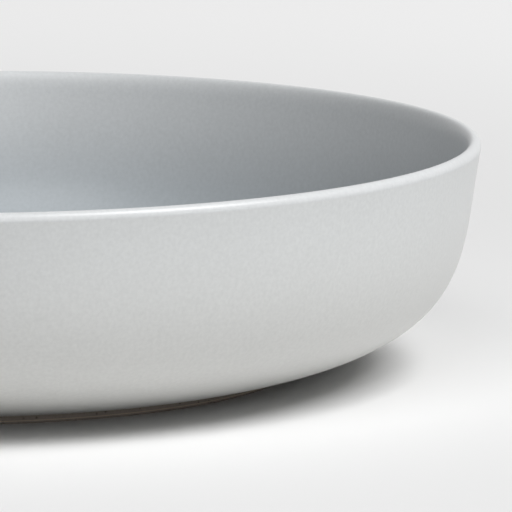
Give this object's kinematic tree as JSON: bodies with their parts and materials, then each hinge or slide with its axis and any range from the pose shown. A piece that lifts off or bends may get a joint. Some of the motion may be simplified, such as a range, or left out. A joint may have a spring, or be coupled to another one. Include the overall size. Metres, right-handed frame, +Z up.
{
  "type": "low bowl",
  "caption": "Low round stoneware bowl with a leaning wall that curves softly into a shallow underside, a rounded lip, a satin grey glaze and a bare clay foot ring to stand on.",
  "frame": {"origin": "centre of the foot ring, on the plane that the bowl stands on", "axes": "+Z up along the bowl's axis of revolution, out of its mouth; X and Y lie in the table, and the bowl is the same all round"},
  "size_m": [0.216, 0.216, 0.048],
  "materials": {
    "stoneware": "fired clay, hidden under the glaze",
    "bare_clay": "bare fired clay, fine and matte",
    "satin_glaze": "satin light grey glaze"
  },
  "bodies": {
    "root": {"stoneware_body": "stoneware", "foot_ring": "bare_clay", "outer_glaze": "satin_glaze", "inner_glaze": "satin_glaze", "base_glaze": "satin_glaze"}
  },
  "joints": []
}
